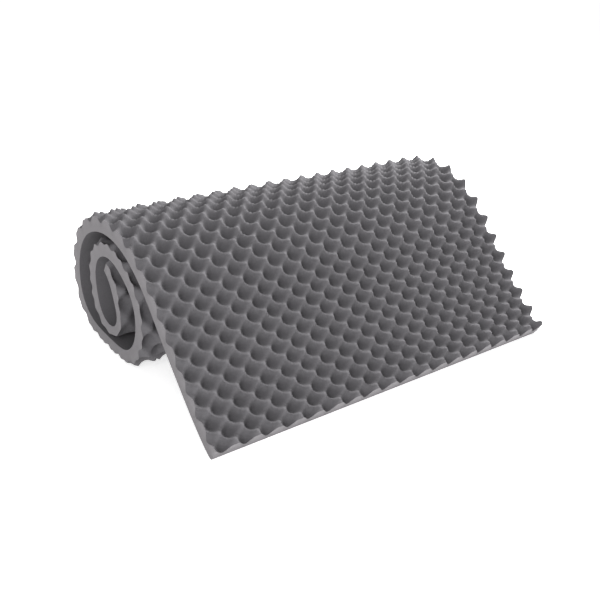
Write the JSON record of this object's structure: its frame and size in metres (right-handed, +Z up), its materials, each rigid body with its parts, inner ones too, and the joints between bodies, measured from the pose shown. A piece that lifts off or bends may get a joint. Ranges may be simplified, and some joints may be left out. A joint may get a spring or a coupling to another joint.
{
  "type": "pressure relief mattress pad",
  "caption": "Egg-crate foam mattress pad, loosely rolled with its smooth face inside, bumps outside, and a free end sloping down to the floor.",
  "frame": {"origin": "the middle of the footprint of the rolled pad, on the surface that it lies on", "axes": "+X along the roll's axis, -Y the way the free end runs out, +Z up"},
  "size_m": [0.991, 0.6833, 0.3456],
  "materials": {
    "grey_foam": "matt open-cell foam"
  },
  "bodies": {
    "root": {"foam_pad": "grey_foam"}
  },
  "joints": []
}
